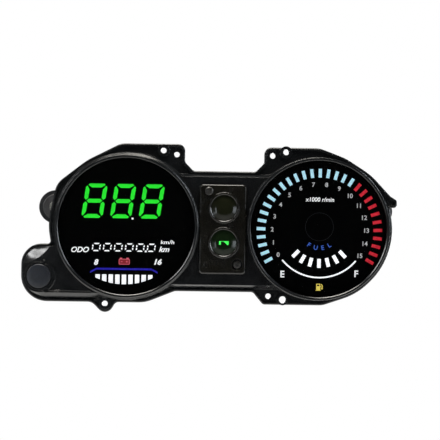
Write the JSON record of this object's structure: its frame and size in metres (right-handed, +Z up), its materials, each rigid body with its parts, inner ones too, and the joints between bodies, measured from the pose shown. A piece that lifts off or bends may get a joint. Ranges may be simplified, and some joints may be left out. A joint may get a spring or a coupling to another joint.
{
  "type": "motorcycle instrument cluster",
  "caption": "Dual-dial digital motorcycle instrument cluster: black moulded case with two round windows, a lamp panel between them and a reset button pod.",
  "frame": {"origin": "centre of the flat pad on the back of the case, midway between the dial axes and level with them", "axes": "+X the rider's right, +Z up, the dials face -Y"},
  "size_m": [0.2659, 0.05, 0.1198],
  "materials": {
    "cover_plastic": "satin moulded black plastic with a fine grain",
    "rear_plastic": "matt moulded black plastic",
    "panel_plastic": "semi-gloss moulded black plastic",
    "dial_black": "matt black plate",
    "clear_lens": "clear gloss polycarbonate",
    "black_rubber": "matt rubber",
    "bush_rubber": "matt grey-black rubber",
    "button_rubber": "satin blue-black rubber",
    "pipe_green": "lit green light pipe",
    "pipe_white": "lit white light pipe",
    "pipe_deep_blue": "lit deep blue light pipe",
    "pipe_pale_blue": "lit pale blue light pipe",
    "pipe_red": "lit red light pipe",
    "white_plastic": "matt white moulding",
    "circuit_board": "green solder mask",
    "led_body": "pale resin",
    "led_dome": "clear tinted resin",
    "lamp_lens_smoke": "smoked gloss lens",
    "lamp_lens_green": "smoked green gloss lens",
    "zinc_steel": "zinc plated",
    "dark_screw": "black oxide",
    "spring_steel": "bright drawn wire",
    "chip_black": "moulded epoxy",
    "ribbon_white": "white polyester film",
    "tinned_brass": "tinned",
    "socket_nylon": "natural nylon"
  },
  "bodies": {
    "case": {"front_cover": "cover_plastic", "rear_case": "rear_plastic", "case_gasket": "black_rubber", "left_dial_lens": "clear_lens", "right_dial_lens": "clear_lens", "left_lens_seal": "black_rubber", "right_lens_seal": "black_rubber", "left_dial_shroud": "dial_black", "right_dial_shroud": "dial_black", "left_dial_mask": "dial_black", "right_dial_mask": "dial_black", "speed_segments": "pipe_green", "speed_point": "pipe_white", "odometer_segments": "pipe_white", "voltage_line": "pipe_deep_blue", "voltage_bars": "pipe_white", "tach_bars_blue": "pipe_pale_blue", "tach_bars_red": "pipe_red", "fuel_bars": "pipe_white", "fuel_arc": "pipe_white", "left_light_box": "white_plastic", "right_light_box": "white_plastic", "left_display_board": "circuit_board", "right_display_board": "circuit_board", "left_leds": "led_body", "right_leds": "led_body", "display_board_screws": "zinc_steel", "indicator_plate": "panel_plastic", "indicator_plate_screws": "dark_screw", "upper_indicator_ring": "panel_plastic", "lower_indicator_ring": "panel_plastic", "upper_indicator_lens": "lamp_lens_smoke", "lower_indicator_lens": "lamp_lens_green", "indicator_board": "circuit_board", "indicator_leds": "led_dome", "main_board": "circuit_board", "main_board_screws": "zinc_steel", "board_chips": "chip_black", "left_ribbon": "ribbon_white", "right_ribbon": "ribbon_white", "button_ribbon": "ribbon_white", "socket_pins": "tinned_brass", "harness_socket": "socket_nylon", "button_seal": "black_rubber", "button_spring": "spring_steel", "switch_body": "chip_black", "button_board": "circuit_board", "button_board_screws": "zinc_steel", "rear_case_screws": "zinc_steel", "vent_plug": "black_rubber", "left_ear_bush": "bush_rubber", "right_ear_bush": "bush_rubber", "left_ear_insert": "zinc_steel", "right_ear_insert": "zinc_steel"},
    "button": {"reset_button": "button_rubber", "button_stem": "white_plastic", "button_clip": "zinc_steel"},
    "plunger": {"switch_plunger": "white_plastic"}
  },
  "joints": [
    {"name": "button_press", "type": "slide", "parent": "case", "child": "button", "axis": [0, 1, 0], "range_m": [0, 0.0012], "stiffness_N_per_m": 900, "springref_m": -0.0016, "deforming": ["button_spring"]},
    {"name": "plunger_press", "type": "slide", "parent": "case", "child": "plunger", "axis": [0, 1, 0], "range_m": [0, 0.0012]}
  ],
  "couplings": [
    {"joint": "plunger_press", "follows": "button_press", "ratio": 1}
  ]
}
